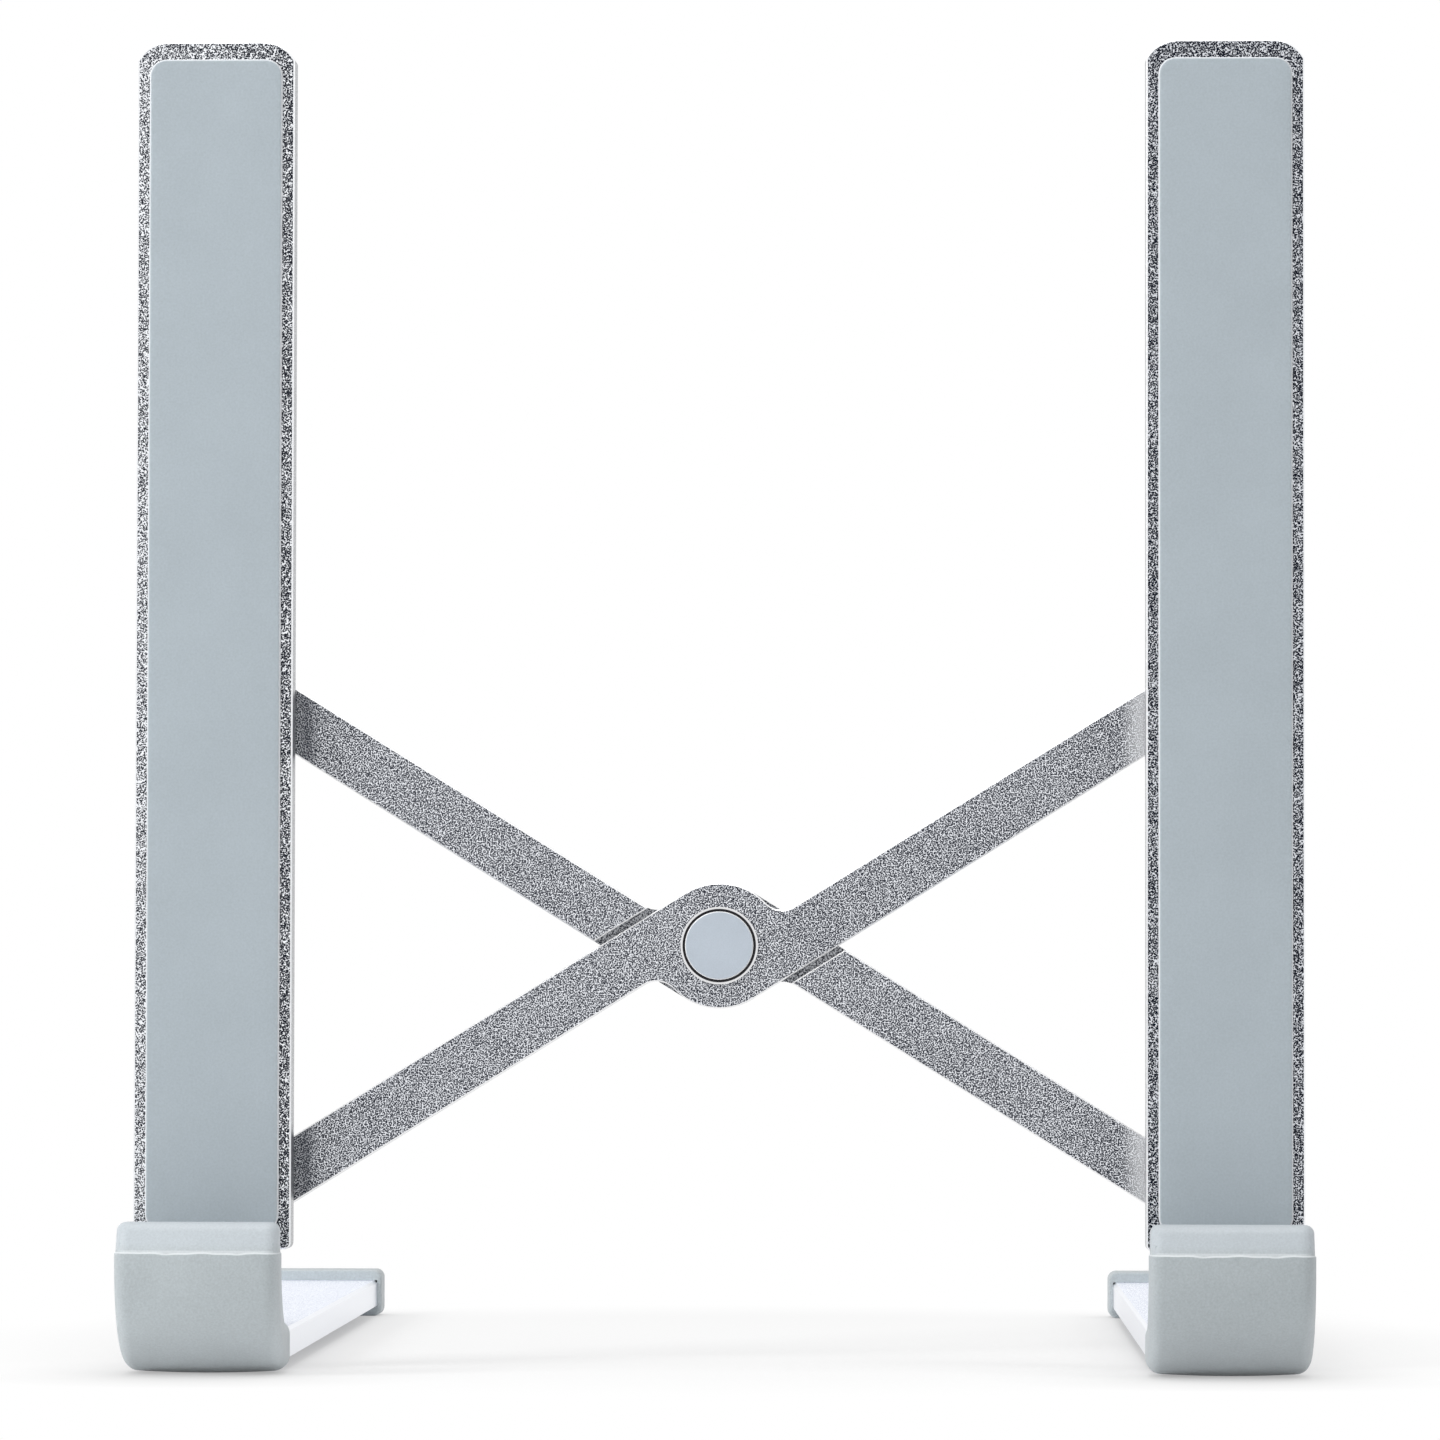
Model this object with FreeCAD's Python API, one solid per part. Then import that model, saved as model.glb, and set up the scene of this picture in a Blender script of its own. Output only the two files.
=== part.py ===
import FreeCAD, Part
import math
import os

# Folding laptop stand: two upright arms joined by a scissor cross, each arm hinged on a floor leg.
# Sizes are in millimetres. While building, y = 0 is the front face of the arms and +y points back.

# Floor legs: flat bars with an upturned hook at the front
LEG_WIDTH = 28.8
LEG_THICK = 5.6
LEG_REACH = 217.0
LEG_EDGE_CHAMFER = 0.6
HOOK_BEND = 13.4
HOOK_CORNER = 4.0

# Front boots: silicone socks over the hooks, with a seat for the laptop's front edge behind the lip
SEAT_DEPTH = 18.6
FOOT_THICK = 2.3
BOOT_FRONT_WALL = 2.0
BOOT_BACK_WALL = 1.6
BOOT_SEAT_WALL = 1.8
BOOT_TOP_WALL = 3.8
BOOT_HEIGHT = 28.8
BOOT_WIDTH = 30.8
BOOT_RIDGE = 23.1
BOOT_LEAN = 3.0
BOOT_NOSE = 21.0
BOOT_EDGE = 2.4
BOOT_TOP_EDGE = 1.5
SEAT_FILLET = 11.7
BOOT_REAR_GAP = 3.3

# Rear boots: silicone end caps with a lip above and a foot below the leg
CAP_WIDTH = 30.8
CAP_COVER = 7.5
CAP_REAR_WALL = 2.0
CAP_LIP = 2.3
CAP_EDGE = 1.2

# Arms: flat bars with a pad recess in front and a T-shaped slider track behind
ARM_SPACING = 192.0
ARM_WIDTH = 30.0
ARM_THICK = 6.0
ARM_TOP_CORNER = 6.8
ARM_TOP_DROP = 3.6
ARM_FOOT_CORNER = 1.2
ARM_EDGE_CHAMFER = 0.3
ARM_TOP_WALL = 1.8
PAD_MARGIN = 2.3
PAD_END_MARGIN = 3.4
PAD_CORNER = 3.2
PAD_SINK = 0.8
PAD_PROUD = 0.7
PAD_EDGE = 0.4
TRACK_WIDTH = 11.0
TRACK_NECK = 7.0
TRACK_FLOOR = 2.4
TRACK_LIP = 1.4

# Hinges between arm and leg
HINGE_PIN = 4.0
HINGE_HEAD = 6.8
HINGE_HEAD_THICK = 1.3
KNUCKLE_RADIUS = 3.4
KNUCKLE_WIDTH = 9.0
INSERT_LENGTH = 26.0
EAR_THICK = 3.0
EAR_GAP = 0.5
FRICTION_WASHER = 0.5
BRACKET_BASE = 2.0
BRACKET_FRONT = 3.0
BRACKET_REAR = 18.0
BRACKET_CORNER = 2.0
FOLD_GAP = 1.0
SET_SCREW = 3.0
SET_SCREW_SOCKET = 1.5
SET_SCREW_SOCKET_DEPTH = 1.2
SET_SCREW_FIRST = 15.0
SET_SCREW_PITCH = 6.0
BRACKET_SCREW = 3.0
BRACKET_SCREW_HEAD = 5.6
BRACKET_SCREW_LENGTH = 6.0
BRACKET_SCREW_SPREAD = 9.0
BRACKET_SCREW_BACK = 8.5

# Scissor cross
BAR_WIDTH = 10.8
BAR_THICK = 4.0
BAR_EDGE_CHAMFER = 0.25
PIVOT_GAP = 2.0
LOWER_PIVOT_UP = 5.8
PIVOT_RISE = 103.9
HUB_RADIUS = 12.0
HUB_FILLET = 4.5
LAP_GAP = 1.3
CLOSED_GAP = 1.2

# Cross pivots
PIVOT_PIN = 4.0
PIVOT_HEAD = 7.4
PIVOT_HEAD_THICK = 1.5
PIVOT_WASHER = 10.0
SLIDER_LENGTH = 12.0
SLIDER_BOSS = 10.0
SLIDER_RIVET_TAIL = 5.6
SLIDER_RIVET_TAIL_THICK = 0.8
TRACK_END_GAP = 0.3
HUB_SHAFT = 6.0
HUB_RIM = 14.8
HUB_RIM_PROUD = 1.0
HUB_RECESS = 13.9
HUB_RECESS_DEPTH = 0.7
HUB_CAP = 13.0
HUB_CAP_PROUD = 0.6
HUB_CAP_EDGE = 0.25
HUB_COLLAR = 11.0
HUB_COLLAR_THICK = 1.3
HUB_WASHER = 20.0
HUB_WASHER_THICK = 0.4

# Clearances, and how near two values or directions must be to count as the same
TOUCHING = 0.0001
PARALLEL = 0.999
SEATED = 0.02
RUNNING = 0.05
SLIDING = 0.15

# Heights and depths that follow from the sizes above
LEG_TOP = FOOT_THICK + LEG_THICK
SEAT_TOP = LEG_TOP + BOOT_SEAT_WALL
BOOT_BACK = -PAD_PROUD - SEAT_DEPTH
HOOK_BACK = BOOT_BACK - BOOT_BACK_WALL
HOOK_FRONT = HOOK_BACK - LEG_THICK
HOOK_TOP = BOOT_HEIGHT - BOOT_TOP_WALL
BOOT_FRONT = HOOK_FRONT - BOOT_FRONT_WALL
BOOT_REAR = -PAD_PROUD - BOOT_REAR_GAP
CAP_REAR = LEG_REACH + CAP_REAR_WALL
BAR_FRONT = ARM_THICK + PIVOT_GAP
BAR_BACK = BAR_FRONT + BAR_THICK
BAR_MIDDLE = BAR_FRONT + BAR_THICK / 2
HINGE_Y = (TRACK_FLOOR + ARM_THICK) / 2
HINGE_Z = LEG_TOP + CAP_LIP + FOLD_GAP + BAR_BACK - HINGE_Y
ARM_BOTTOM = HINGE_Z + KNUCKLE_RADIUS + EAR_GAP
LOWER_PIVOT_Z = ARM_BOTTOM + LOWER_PIVOT_UP
HUB_Z = LOWER_PIVOT_Z + PIVOT_RISE / 2
UPPER_PIVOT_Z = LOWER_PIVOT_Z + PIVOT_RISE

# Scissor geometry: half the distance between a bar's pivots, and the slope of its edges when open
ARM_X = ARM_SPACING / 2
BAR_REACH = math.hypot(ARM_X, PIVOT_RISE / 2)
BAR_OFFSET = HUB_RADIUS - BAR_WIDTH / 2
BAR_RUN = math.sqrt(BAR_REACH ** 2 - BAR_OFFSET ** 2)
OPEN_ANGLE = math.degrees(math.atan2(PIVOT_RISE / 2, ARM_X))
BAR_SLOPE = OPEN_ANGLE + math.degrees(math.asin(BAR_OFFSET / BAR_REACH))
CLOSED_X = (max(BOOT_WIDTH, CAP_WIDTH) + CLOSED_GAP) / 2
CLOSED_PIVOT_Z = LOWER_PIVOT_Z + 2 * math.sqrt(BAR_REACH ** 2 - CLOSED_X ** 2)

# The track ends just above the slider of the closed cross, and the arm just above the track
TRACK_END_Z = CLOSED_PIVOT_Z + (SLIDER_LENGTH - TRACK_WIDTH) / 2 + TRACK_END_GAP
ARM_TOP = TRACK_END_Z + TRACK_WIDTH / 2 + ARM_TOP_WALL

# The finished stand has its origin on the floor under the middle of its box
SHIFT_Y = -(BOOT_FRONT + CAP_REAR) / 2

X_AXIS = FreeCAD.Vector(1, 0, 0)
Y_AXIS = FreeCAD.Vector(0, 1, 0)
Z_AXIS = FreeCAD.Vector(0, 0, 1)
DIAGONAL = math.sqrt(0.5)


def point(x, y, z):
    return FreeCAD.Vector(x, y, z)


def block(x0, x1, y0, y1, z0, z1):
    """A box between two corners."""
    return Part.makeBox(x1 - x0, y1 - y0, z1 - z0, point(x0, y0, z0))


def rod(diameter, start, end):
    """A round bar between two points."""
    axis = end - start
    return Part.makeCylinder(diameter / 2, axis.Length, start, axis)


def ring(outer, inner, start, end):
    """A washer between two points on its axis."""
    return rod(outer, start, end).cut(rod(inner, start, end))


def outline(start, *steps):
    """A closed wire: a step with one point is a line, a step with two is an arc through the first."""
    edges = []
    here = start
    for step in steps:
        if len(step) == 1:
            edges.append(Part.LineSegment(here, step[0]).toShape())
        else:
            edges.append(Part.Arc(here, step[0], step[1]).toShape())
        here = step[-1]
    return Part.Wire(edges)


def edges_where(shape, test):
    """The edges whose middle point passes the test."""
    return [edge for edge in shape.Edges if test(edge.CenterOfMass)]


def straight_edges(shape, axis, test):
    """The straight edges along an axis whose middle point passes the test."""
    found = []
    for edge in edges_where(shape, test):
        if isinstance(edge.Curve, Part.Line) and abs(edge.Curve.Direction.dot(axis)) > PARALLEL:
            found.append(edge)
    return found


def near(value, target):
    return abs(value - target) < TOUCHING


def upright_slot(width, y0, y1, z0, z1):
    """A slot cutter from z0 up to a round end centred on z1."""
    straight = block(-width / 2, width / 2, y0, y1, z0, z1)
    return straight.fuse(rod(width, point(0, y0, z1), point(0, y1, z1)))


def pad_plate(grow, y0, y1):
    """The arm pad's plate with rounded corners, grown by a clearance."""
    half = ARM_WIDTH / 2 - PAD_MARGIN + grow
    solid = block(-half, half, y0, y1, ARM_BOTTOM + PAD_END_MARGIN - grow, ARM_TOP - PAD_END_MARGIN + grow)
    return solid.makeFillet(PAD_CORNER + grow, straight_edges(solid, Y_AXIS, lambda p: True))


def arm_blank():
    """Bar whose top corners are arcs that leave the top edge smoothly and meet the sides at an angle."""
    half = ARM_WIDTH / 2
    side_top = ARM_TOP - ARM_TOP_DROP
    turn = math.acos(1 - ARM_TOP_DROP / ARM_TOP_CORNER)
    shoulder = half - ARM_TOP_CORNER * math.sin(turn)
    middle_x = shoulder + ARM_TOP_CORNER * math.sin(turn / 2)
    middle_z = ARM_TOP - ARM_TOP_CORNER * (1 - math.cos(turn / 2))
    front = outline(
        point(-half, 0, ARM_BOTTOM),
        [point(half, 0, ARM_BOTTOM)],
        [point(half, 0, side_top)],
        [point(middle_x, 0, middle_z), point(shoulder, 0, ARM_TOP)],
        [point(-shoulder, 0, ARM_TOP)],
        [point(-middle_x, 0, middle_z), point(-half, 0, side_top)],
        [point(-half, 0, ARM_BOTTOM)],
    )
    solid = Part.Face(front).extrude(point(0, ARM_THICK, 0))
    return solid.makeFillet(ARM_FOOT_CORNER, straight_edges(solid, Y_AXIS, lambda p: near(p.z, ARM_BOTTOM)))


def arm():
    """Bar with chamfered front edges, the pad recess in front and the T track behind."""
    solid = arm_blank()
    solid = solid.makeChamfer(ARM_EDGE_CHAMFER, edges_where(solid, lambda p: near(p.y, 0)))
    solid = solid.cut(pad_plate(SEATED, -PAD_PROUD, PAD_SINK))
    below = ARM_BOTTOM - EAR_GAP
    pocket = upright_slot(TRACK_WIDTH, TRACK_FLOOR, ARM_THICK - TRACK_LIP, below, TRACK_END_Z)
    neck = upright_slot(TRACK_NECK, TRACK_FLOOR, ARM_THICK, below, TRACK_END_Z)
    return solid.cut(pocket.fuse(neck))


def arm_pad():
    """Rubber strip with a softened front edge."""
    solid = pad_plate(0, -PAD_PROUD, PAD_SINK)
    return solid.makeFillet(PAD_EDGE, edges_where(solid, lambda p: near(p.y, -PAD_PROUD)))


def t_section(clear, z0, z1):
    """A straight T bar that fits the track."""
    head = block(
        -TRACK_WIDTH / 2 + clear, TRACK_WIDTH / 2 - clear,
        TRACK_FLOOR + clear, ARM_THICK - TRACK_LIP - clear, z0, z1,
    )
    stem = block(-TRACK_NECK / 2 + clear, TRACK_NECK / 2 - clear, TRACK_FLOOR + clear, ARM_THICK, z0, z1)
    return head.fuse(stem)


def set_screw_heights():
    first = ARM_BOTTOM + SET_SCREW_FIRST
    return [first, first + SET_SCREW_PITCH]


def hinge_knuckle():
    """T insert in the lower end of the track that ends in the hinge barrel below the arm."""
    half = KNUCKLE_WIDTH / 2
    insert = t_section(SEATED, ARM_BOTTOM, ARM_BOTTOM + INSERT_LENGTH)
    web = block(-half, half, TRACK_FLOOR + SEATED, ARM_THICK, HINGE_Z, ARM_BOTTOM)
    left_end = point(-half, HINGE_Y, HINGE_Z)
    right_end = point(half, HINGE_Y, HINGE_Z)
    solid = insert.fuse([web, rod(2 * KNUCKLE_RADIUS, left_end, right_end)]).removeSplitter()
    solid = solid.cut(rod(HINGE_PIN + 2 * RUNNING, left_end, right_end))
    pivot_bore = PIVOT_PIN + 2 * SEATED
    solid = solid.cut(rod(pivot_bore, point(0, 0, LOWER_PIVOT_Z), point(0, ARM_THICK, LOWER_PIVOT_Z)))
    for z in set_screw_heights():
        solid = solid.cut(rod(SET_SCREW + 2 * SEATED, point(0, 0, z), point(0, ARM_THICK, z)))
    return solid


def hexagon(across, y0, y1, z):
    """A hexagonal prism along y."""
    corners = []
    for step in range(7):
        turn = math.radians(60 * step)
        reach = across / math.sqrt(3)
        corners.append(point(reach * math.cos(turn), y0, z + reach * math.sin(turn)))
    return Part.Face(Part.makePolygon(corners)).extrude(point(0, y1 - y0, 0))


def knuckle_set_screws():
    """Two grub screws that press the insert against the lips of the track."""
    screws = []
    for z in set_screw_heights():
        screw = rod(SET_SCREW, point(0, TRACK_FLOOR, z), point(0, ARM_THICK, z))
        socket = hexagon(SET_SCREW_SOCKET, ARM_THICK - SET_SCREW_SOCKET_DEPTH, ARM_THICK, z)
        screws.append(screw.cut(socket))
    return Part.makeCompound(screws)


def leg_blank(grow):
    """The leg's bent bar, grown by a clearance: a side profile with the hook's bend, carried along x."""
    half = LEG_WIDTH / 2 + grow
    bottom = FOOT_THICK - grow
    top = LEG_TOP + grow
    front = HOOK_FRONT - grow
    back = HOOK_BACK + grow
    peak = HOOK_TOP + grow
    rear = LEG_REACH + grow
    inner = HOOK_BEND - grow
    outer = HOOK_BEND + LEG_THICK + grow
    bend_y = HOOK_BACK + HOOK_BEND
    bend_z = LEG_TOP + HOOK_BEND
    profile = outline(
        point(-half, rear, bottom),
        [point(-half, bend_y, bottom)],
        [point(-half, bend_y - outer * DIAGONAL, bend_z - outer * DIAGONAL), point(-half, front, bend_z)],
        [point(-half, front, peak)],
        [point(-half, back, peak)],
        [point(-half, back, bend_z)],
        [point(-half, bend_y - inner * DIAGONAL, bend_z - inner * DIAGONAL), point(-half, bend_y, top)],
        [point(-half, rear, top)],
        [point(-half, rear, bottom)],
    )
    solid = Part.Face(profile).extrude(point(2 * half, 0, 0))
    return solid.makeFillet(HOOK_CORNER, straight_edges(solid, Y_AXIS, lambda p: near(p.z, peak)))


def bracket_screw_places():
    y = HINGE_Y + BRACKET_SCREW_BACK
    return [(-BRACKET_SCREW_SPREAD / 2, y), (BRACKET_SCREW_SPREAD / 2, y)]


def leg():
    """Bent bar with chamfered top edges and two tapped holes for the hinge bracket."""
    solid = leg_blank(0)
    solid = solid.makeChamfer(LEG_EDGE_CHAMFER, straight_edges(solid, Y_AXIS, lambda p: near(p.z, LEG_TOP)))
    tip = LEG_TOP + BRACKET_BASE - BRACKET_SCREW_LENGTH
    for x, y in bracket_screw_places():
        solid = solid.cut(rod(BRACKET_SCREW + 2 * SEATED, point(x, y, tip), point(x, y, LEG_TOP)))
    return solid


def front_boot():
    """Sock over the hook: a J profile with a lip that leans back above its ridge and round upright edges."""
    half = BOOT_WIDTH / 2
    nose_y = BOOT_FRONT + BOOT_NOSE
    nose_reach = BOOT_NOSE * DIAGONAL
    fillet_y = BOOT_BACK + SEAT_FILLET
    fillet_z = SEAT_TOP + SEAT_FILLET
    fillet_reach = SEAT_FILLET * DIAGONAL
    profile = outline(
        point(-half, BOOT_REAR, 0),
        [point(-half, nose_y, 0)],
        [point(-half, nose_y - nose_reach, BOOT_NOSE - nose_reach), point(-half, BOOT_FRONT, BOOT_NOSE)],
        [point(-half, BOOT_FRONT, BOOT_RIDGE)],
        [point(-half, BOOT_FRONT + BOOT_LEAN, BOOT_HEIGHT)],
        [point(-half, BOOT_BACK, BOOT_HEIGHT)],
        [point(-half, BOOT_BACK, fillet_z)],
        [point(-half, fillet_y - fillet_reach, fillet_z - fillet_reach), point(-half, fillet_y, SEAT_TOP)],
        [point(-half, BOOT_REAR, SEAT_TOP)],
        [point(-half, BOOT_REAR, 0)],
    )
    solid = Part.Face(profile).extrude(point(2 * half, 0, 0))
    top_edges = straight_edges(solid, X_AXIS, lambda p: near(p.z, BOOT_HEIGHT))
    solid = solid.makeFillet(BOOT_TOP_EDGE, top_edges)
    side_edges = edges_where(solid, lambda p: near(abs(p.x), half) and p.y < nose_y)
    solid = solid.makeFillet(BOOT_EDGE, side_edges)
    return solid.cut(leg_blank(SEATED))


def rear_boot():
    """End cap with a lip above the leg and a foot below it."""
    start = LEG_REACH - CAP_COVER
    solid = block(-CAP_WIDTH / 2, CAP_WIDTH / 2, start, CAP_REAR, 0, LEG_TOP + CAP_LIP)
    solid = solid.makeFillet(CAP_EDGE, edges_where(solid, lambda p: p.z > LEG_TOP or p.y > LEG_REACH))
    return solid.cut(leg_blank(SEATED))


def ear_inside():
    return KNUCKLE_WIDTH / 2 + FRICTION_WASHER


def ear_outside():
    return ear_inside() + EAR_THICK


def hinge_bracket():
    """U bracket: a base plate on the leg and two ears with round tops that hold the hinge pin."""
    base = block(
        -ear_outside(), ear_outside(), -BRACKET_FRONT, BRACKET_REAR, LEG_TOP, LEG_TOP + BRACKET_BASE,
    )
    base = base.makeFillet(BRACKET_CORNER, straight_edges(base, Z_AXIS, lambda p: True))
    ears = []
    for side in (-1, 1):
        low = min(side * ear_inside(), side * ear_outside())
        high = max(side * ear_inside(), side * ear_outside())
        post = block(low, high, HINGE_Y - KNUCKLE_RADIUS, HINGE_Y + KNUCKLE_RADIUS, LEG_TOP, HINGE_Z)
        top = rod(2 * KNUCKLE_RADIUS, point(low, HINGE_Y, HINGE_Z), point(high, HINGE_Y, HINGE_Z))
        ears.append(post.fuse(top))
    solid = base.fuse(ears).removeSplitter()
    bore = HINGE_PIN + 2 * SEATED
    left_end = point(-ear_outside(), HINGE_Y, HINGE_Z)
    right_end = point(ear_outside(), HINGE_Y, HINGE_Z)
    solid = solid.cut(rod(bore, left_end, right_end))
    for x, y in bracket_screw_places():
        solid = solid.cut(countersunk_screw(x, y, SEATED))
    return solid


def countersunk_screw(x, y, grow):
    """Flush screw that goes down through the bracket's base into the leg, grown by a clearance."""
    top = LEG_TOP + BRACKET_BASE
    cone = (BRACKET_SCREW_HEAD - BRACKET_SCREW) / 2
    head = Part.makeCone(
        BRACKET_SCREW / 2 + grow, BRACKET_SCREW_HEAD / 2 + grow, cone, point(x, y, top - cone), Z_AXIS,
    )
    shank = rod(BRACKET_SCREW + 2 * grow, point(x, y, top - BRACKET_SCREW_LENGTH), point(x, y, top))
    return head.fuse(shank).removeSplitter()


def bracket_screws():
    return Part.makeCompound([countersunk_screw(x, y, 0) for x, y in bracket_screw_places()])


def hinge_pin():
    """Steel pin closed by a head outside each ear."""
    reach = ear_outside()
    shaft = rod(HINGE_PIN, point(-reach, HINGE_Y, HINGE_Z), point(reach, HINGE_Y, HINGE_Z))
    heads = []
    for side in (-1, 1):
        inner = point(side * reach, HINGE_Y, HINGE_Z)
        outer = point(side * (reach + HINGE_HEAD_THICK), HINGE_Y, HINGE_Z)
        heads.append(rod(HINGE_HEAD, inner, outer))
    return shaft.fuse(heads).removeSplitter()


def friction_washers():
    """A spring washer on each side of the knuckle."""
    washers = []
    for side in (-1, 1):
        inner = point(side * KNUCKLE_WIDTH / 2, HINGE_Y, HINGE_Z)
        outer = point(side * ear_inside(), HINGE_Y, HINGE_Z)
        washers.append(ring(2 * KNUCKLE_RADIUS, HINGE_PIN + 2 * SEATED, inner, outer))
    return Part.makeCompound(washers)


def bar_outline(hand):
    """The Z shape of a cross bar about the hub: two parallel halves, each with its outer edge tangent
    to the hub circle, a round pivot end and a concave fillet between its inner edge and the hub.
    The rear bar, hand -1, is the mirror image of the front bar."""
    inner = BAR_OFFSET - BAR_WIDTH / 2
    lift = HUB_FILLET - inner
    fillet_u = math.sqrt((HUB_RADIUS + HUB_FILLET) ** 2 - lift ** 2)
    share = HUB_RADIUS / (HUB_RADIUS + HUB_FILLET)
    touch_turn = math.atan2(lift, fillet_u)
    hub_turn = (touch_turn + math.pi / 2) / 2
    fillet_mid_turn = (touch_turn - 3 * math.pi / 2) / 2
    cosine = math.cos(math.radians(BAR_SLOPE))
    sine = math.sin(math.radians(BAR_SLOPE))

    def at(u, n):
        return point(hand * (u * cosine - n * sine), BAR_FRONT, HUB_Z + u * sine + n * cosine)

    def half(sign):
        return [
            [at(sign * BAR_RUN, -sign * HUB_RADIUS)],
            [at(sign * (BAR_RUN + BAR_WIDTH / 2), -sign * BAR_OFFSET), at(sign * BAR_RUN, -sign * inner)],
            [at(sign * fillet_u, -sign * inner)],
            [
                at(sign * (fillet_u + HUB_FILLET * math.cos(fillet_mid_turn)),
                   sign * (lift + HUB_FILLET * math.sin(fillet_mid_turn))),
                at(sign * fillet_u * share, sign * lift * share),
            ],
            [
                at(sign * HUB_RADIUS * math.cos(hub_turn), sign * HUB_RADIUS * math.sin(hub_turn)),
                at(0, sign * HUB_RADIUS),
            ],
        ]

    return outline(at(0, -HUB_RADIUS), *half(1), *half(-1))


def lap_cutter(slope, y0, y1):
    """The straight slot that the other bar lies in when the cross is open."""
    half = HUB_RADIUS + LAP_GAP
    slot = block(-BAR_REACH, BAR_REACH, y0, y1, HUB_Z - half, HUB_Z + half)
    slot.rotate(point(0, 0, HUB_Z), Y_AXIS, -slope)
    return slot


def lap_mouth(solid, slope, y):
    """The straight edges of the lap slot that lie in one face of the bar."""
    cosine = math.cos(math.radians(slope))
    sine = math.sin(math.radians(slope))

    def across(p):
        return abs((p.z - HUB_Z) * cosine - p.x * sine)

    return edges_where(solid, lambda p: near(p.y, y) and near(across(p), HUB_RADIUS + LAP_GAP))


def cross_bar(hand, lap_front, lap_back, hub_bore):
    """A Z bar with chamfered edges, halved in thickness where the bars cross, with its hub bore."""
    solid = Part.Face(bar_outline(hand)).extrude(point(0, BAR_THICK, 0))
    flat_edges = edges_where(solid, lambda p: near(p.y, BAR_FRONT) or near(p.y, BAR_BACK))
    solid = solid.makeChamfer(BAR_EDGE_CHAMFER, flat_edges)
    slope = -hand * BAR_SLOPE
    solid = solid.cut(lap_cutter(slope, lap_front, lap_back))
    open_face = BAR_FRONT if near(lap_front, BAR_FRONT) else BAR_BACK
    solid = solid.makeChamfer(BAR_EDGE_CHAMFER, lap_mouth(solid, slope, open_face))
    solid = solid.cut(rod(hub_bore, point(0, BAR_FRONT, HUB_Z), point(0, BAR_BACK, HUB_Z)))
    return solid


def pivot_bores(x, z, clear):
    """The bore of a pivot end, counterbored from behind for the head of its pin."""
    seat_front = BAR_BACK - PIVOT_HEAD_THICK - clear
    bore = rod(PIVOT_PIN + 2 * clear, point(x, BAR_FRONT, z), point(x, BAR_BACK, z))
    seat = rod(PIVOT_HEAD + 2 * clear, point(x, seat_front, z), point(x, BAR_BACK, z))
    return bore.fuse(seat)


def front_cross_bar():
    """From the left arm's lower pivot to the right arm's slider, with the front lap."""
    lap = BAR_MIDDLE - HUB_WASHER_THICK / 2
    solid = cross_bar(1, lap, BAR_BACK, HUB_SHAFT + 2 * SEATED)
    solid = solid.cut(pivot_bores(-ARM_X, LOWER_PIVOT_Z, RUNNING))
    return solid.cut(pivot_bores(ARM_X, UPPER_PIVOT_Z, SEATED))


def rear_cross_bar():
    """From the right arm's lower pivot to the left arm's slider, with the rear lap."""
    lap = BAR_MIDDLE + HUB_WASHER_THICK / 2
    solid = cross_bar(-1, BAR_FRONT, lap, HUB_SHAFT + 2 * RUNNING)
    solid = solid.cut(pivot_bores(ARM_X, LOWER_PIVOT_Z, RUNNING))
    return solid.cut(pivot_bores(-ARM_X, UPPER_PIVOT_Z, SEATED))


def lower_pivot_pin():
    """Shouldered pin fixed in the arm's insert, its head flush with the back of the bar."""
    z = LOWER_PIVOT_Z
    shaft = rod(PIVOT_PIN, point(0, TRACK_FLOOR + SEATED, z), point(0, BAR_BACK, z))
    head = rod(PIVOT_HEAD, point(0, BAR_BACK - PIVOT_HEAD_THICK, z), point(0, BAR_BACK, z))
    return shaft.fuse(head).removeSplitter()


def lower_pivot_washer():
    """Spacer between the arm's back and the bar."""
    z = LOWER_PIVOT_Z
    return ring(PIVOT_WASHER, PIVOT_PIN + 2 * SEATED, point(0, ARM_THICK, z), point(0, BAR_FRONT, z))


def slider():
    """Shoe with a round-ended head in the track, a stem through its neck and a boss under the bar."""
    z = UPPER_PIVOT_Z
    head_width = TRACK_WIDTH - 2 * SLIDING
    rise = (SLIDER_LENGTH - head_width) / 2
    head_front = TRACK_FLOOR + SLIDING
    head_back = ARM_THICK - TRACK_LIP - SLIDING
    head = upright_slot(head_width, head_front, head_back, z - rise, z + rise)
    head = head.fuse(rod(head_width, point(0, head_front, z - rise), point(0, head_back, z - rise)))
    boss_front = ARM_THICK + SLIDING
    stem = rod(TRACK_NECK - 2 * SLIDING, point(0, head_front, z), point(0, BAR_FRONT, z))
    boss = rod(SLIDER_BOSS, point(0, boss_front, z), point(0, BAR_FRONT, z))
    solid = head.fuse([stem, boss]).removeSplitter()
    tail_back = head_front + SLIDER_RIVET_TAIL_THICK + RUNNING
    solid = solid.cut(rod(PIVOT_PIN + 2 * RUNNING, point(0, head_front, z), point(0, BAR_FRONT, z)))
    return solid.cut(rod(SLIDER_RIVET_TAIL + 2 * RUNNING, point(0, head_front, z), point(0, tail_back, z)))


def slider_rivet():
    """Rivet fixed in the bar, its head flush behind and its tail sunk in the slider."""
    z = UPPER_PIVOT_Z
    front = TRACK_FLOOR + SLIDING
    shaft = rod(PIVOT_PIN, point(0, front, z), point(0, BAR_BACK, z))
    head = rod(PIVOT_HEAD, point(0, BAR_BACK - PIVOT_HEAD_THICK, z), point(0, BAR_BACK, z))
    tail = rod(SLIDER_RIVET_TAIL, point(0, front, z), point(0, front + SLIDER_RIVET_TAIL_THICK, z))
    return shaft.fuse([head, tail]).removeSplitter()


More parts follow.
